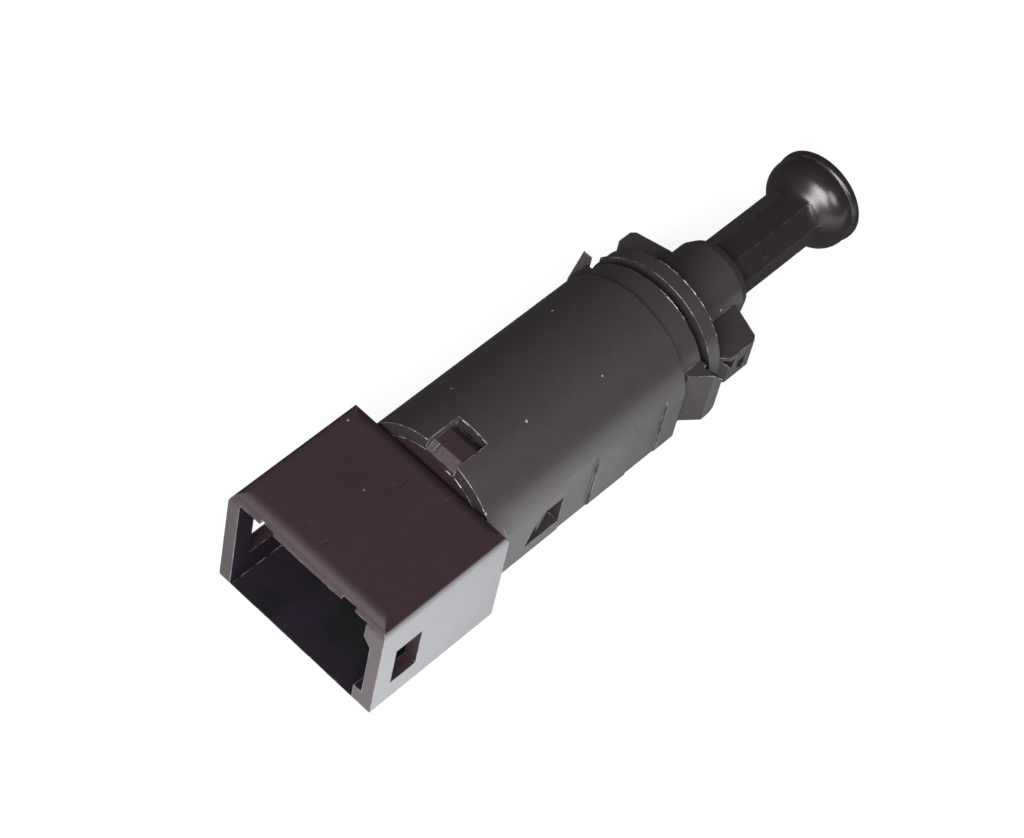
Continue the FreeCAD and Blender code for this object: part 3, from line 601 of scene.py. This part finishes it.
class SWITCH_OT_flash(bpy.types.Operator):
    """Lay thin flash beads, coloured light as painted highlights, along the parting edges"""
    bl_idname = "switch.flash"
    bl_label = "Flash"

    def execute(self, context):
        s = context.scene.switch_flash
        verts, edges = [], []
        for path in FLASH_PATHS:
            first = len(verts)
            verts += [tuple(c * MM for c in point) for point in path]
            edges += [(first + i, first + i + 1) for i in range(len(path) - 1)]
        values = {
            "Radius": s.bead_radius, "Waver": s.bead_waver, "Gaps": s.bead_gaps, "Sides": s.bead_sides,
            "Seed": s.seed, "Material": glinting("flash_highlight_plastic", s.flash_highlight_colour)}
        piece = grow("moulding_flash", verts, edges, flash_tree(), values)
        if not piece.data.polygons:
            raise RuntimeError("the flash came out empty")
        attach(piece, "switch_body")
        return {"FINISHED"}


class SWITCH_OT_contacts(bpy.types.Operator):
    """Finish the blades, bridges, contacts, springs and the slider"""
    bl_idname = "switch.contacts"
    bl_label = "Contact works"

    def execute(self, context):
        s = context.scene.switch_contacts
        tin = metal("tinned_blade", s.tin_colour, 0.34)
        copper = metal("bridge_copper", s.copper_colour, 0.32, drawn=(12.0, 12.0, 1.0))
        silver = metal("contact_silver", s.silver_colour, 0.28)
        steel = metal("spring_wire", s.steel_colour, 0.25)
        for circuit in ("brake", "cruise"):
            dress(circuit + "_contact_bridge", copper)
            dress(circuit + "_contact_spring", steel)
            for row in ("upper", "lower"):
                dress("%s_terminal_%s" % (circuit, row), tin)
                dress("%s_contact_pad_%s" % (circuit, row), silver)
                dress("%s_contact_rivet_%s" % (circuit, row), silver)
        dress("return_spring", steel)
        dress("contact_carrier", natural("slider_plastic", s.slider_colour, context.scene.switch_mouldings))
        return {"FINISHED"}


# name, place from the object's middle, side, power in watts, colour
LAMPS = (
    ("lamp_key", (-0.52, -0.20, 0.46), 0.50, 15.0, (1.0, 0.98, 0.98)),
    ("lamp_fill", (-0.10, -0.62, 0.62), 0.40, 5.0, (0.96, 0.98, 1.0)),
)
ROOM_STRENGTH = 0.16
# the floor's colour towards the object is painted darker over this many millimetres, down to the least share,
# as painted shade that stands in for the floor's light fading
FADE_REACH = 47.0
FADE_SLANT = 0.8
FADE_LEAST = 0.08
# how much of the floor that the camera sees is plain white
FLOOR_WHITE = 0.86
# shift of the photograph's middle, as shares of its width
PHOTO_SHIFT = (-6.35 / 1024, 3.48 / 1024)


class SWITCH_OT_stage(bpy.types.Operator):
    """Lay the floor, hang the lamps and set the camera"""
    bl_idname = "switch.stage"
    bl_label = "Stage"

    def execute(self, context):
        s = context.scene.switch_stage
        lay_floor(s)
        paint_room(context.scene, s)
        middle = Vector(((HOUSING[0].x + PLUNGER[1].x) / 2, 0.0, 0.0))
        for name, away, side, power, tone in LAMPS:
            hang_lamp(name, middle, Vector(away), side, power, tone)
        set_camera(context.scene, s)
        context.scene.view_settings.view_transform = "Standard"
        return {"FINISHED"}


def lay_floor(s):
    """A white floor that looks even to the camera; towards the object its colour is painted darker away from
    the connector, as painted shade, so it lights the object less there.
    """
    half = s.floor_size / 2
    low = min(HOUSING[0].z, BARREL[0].z)
    mesh = bpy.data.meshes.new("floor")
    corners = [(x * half, y * half, low) for x, y in ((-1, -1), (1, -1), (1, 1), (-1, 1))]
    mesh.from_pydata(corners, [], [(0, 1, 2, 3)])
    floor = bpy.data.objects.new("floor", mesh)
    bpy.context.scene.collection.objects.link(floor)
    material, tree = new_material("floor_white")
    x, y, _ = tree.axes(millimetres(tree))
    camera = tree.node("ShaderNodeLightPath", None, None, "Is Camera Ray")
    # painted shade on the floor for every ray but the camera's
    painted_light_share = ((x * -FADE_SLANT - y) / FADE_REACH).math("MAXIMUM", FADE_LEAST).math("MINIMUM", 1.0)
    painted_light_share = painted_light_share + (1.0 - painted_light_share) * camera
    tone = tree.mix(painted_light_share, (0.0, 0.0, 0.0), tuple(s.floor_colour))
    paint = tree.node("ShaderNodeBsdfDiffuse", None, {"Color": tone})
    glow = tree.node("ShaderNodeEmission", None, {"Color": (1.0, 1.0, 1.0, 1.0), "Strength": 1.0})
    seen = tree.node("ShaderNodeMixShader", None, {0: camera * FLOOR_WHITE, 1: paint, 2: glow})
    close_material(tree, seen)
    mesh.materials.append(material)


def paint_room(scene, s):
    """A dim tinted room that the camera sees as white."""
    world = bpy.data.worlds.new("room")
    world.use_nodes = True
    world.node_tree.nodes.clear()
    tree = Tree(world.node_tree)
    room = tree.node("ShaderNodeBackground", None,
                     {"Color": (*s.room_colour, 1.0), "Strength": ROOM_STRENGTH})
    white = tree.node("ShaderNodeBackground", None, {"Color": (1.0, 1.0, 1.0, 1.0), "Strength": 1.0})
    camera = tree.node("ShaderNodeLightPath", None, None, "Is Camera Ray")
    seen = tree.node("ShaderNodeMixShader", None, {0: camera, 1: room, 2: white})
    tree.node("ShaderNodeOutputWorld", None, {"Surface": seen})
    scene.world = world


def hang_lamp(name, middle, away, side, power, tone):
    """A square lamp that points at the object's middle."""
    data = bpy.data.lights.new(name, "AREA")
    data.shape = "SQUARE"
    data.size = side
    data.energy = power
    data.color = tone
    lamp = bpy.data.objects.new(name, data)
    lamp.location = middle + away
    lamp.rotation_euler = away.to_track_quat("Z", "Y").to_euler()
    bpy.context.scene.collection.objects.link(lamp)


def set_camera(scene, s):
    """Stands the camera where the photograph was taken from."""
    data = bpy.data.cameras.new("camera")
    data.sensor_fit = "HORIZONTAL"
    data.sensor_width = 36.0
    data.lens = s.lens
    data.clip_start = 0.01
    data.clip_end = 10.0
    data.shift_x, data.shift_y = PHOTO_SHIFT
    camera = bpy.data.objects.new("camera", data)
    flat = math.cos(s.elevation)
    back = Vector((math.sin(s.azimuth) * flat, -math.cos(s.azimuth) * flat, math.sin(s.elevation)))
    right = (-back).cross(Vector((0, 0, 1))).normalized()
    up = back.cross(right)
    turned = Matrix.Rotation(s.roll, 3, back)
    axes = Matrix((turned @ right, turned @ up, back)).transposed()
    camera.matrix_world = Matrix.Translation(s.camera_place) @ axes.to_4x4()
    scene.collection.objects.link(camera)
    scene.camera = camera


class SWITCH_PT_sidebar(bpy.types.Panel):
    """Sizes, colours and building steps of the switch"""
    bl_idname = "SWITCH_PT_sidebar"
    bl_label = "Brake light switch"
    bl_space_type = "VIEW_3D"
    bl_region_type = "UI"
    bl_category = "Switch"

    def draw(self, context):
        for name, step, _ in STEPS:
            box = self.layout.box()
            box.operator(step)
            group = getattr(context.scene, name)
            for key in group.__annotations__:
                box.prop(group, key)


# name of the settings in the scene, operator, class of the settings
STEPS = (
    ("switch_mouldings", SWITCH_OT_mouldings.bl_idname, MouldingSettings),
    ("switch_plunger", SWITCH_OT_plunger.bl_idname, PlungerSettings),
    ("switch_flash", SWITCH_OT_flash.bl_idname, FlashSettings),
    ("switch_contacts", SWITCH_OT_contacts.bl_idname, ContactSettings),
    ("switch_stage", SWITCH_OT_stage.bl_idname, StageSettings),
)

CLASSES = (
    MouldingSettings, PlungerSettings, FlashSettings, ContactSettings, StageSettings,
    SWITCH_OT_mouldings, SWITCH_OT_plunger, SWITCH_OT_flash, SWITCH_OT_contacts, SWITCH_OT_stage,
    SWITCH_PT_sidebar)


def register():
    for cls in CLASSES:
        bpy.utils.register_class(cls)
    for name, _, group in STEPS:
        setattr(bpy.types.Scene, name, PointerProperty(type=group))


def unregister():
    for name, _, _ in STEPS:
        delattr(bpy.types.Scene, name)
    for cls in reversed(CLASSES):
        bpy.utils.unregister_class(cls)


def main():
    register()
    bpy.ops.switch.mouldings()
    bpy.ops.switch.plunger()
    bpy.ops.switch.flash()
    bpy.ops.switch.contacts()
    bpy.ops.switch.stage()


if __name__ == "__main__":
    main()
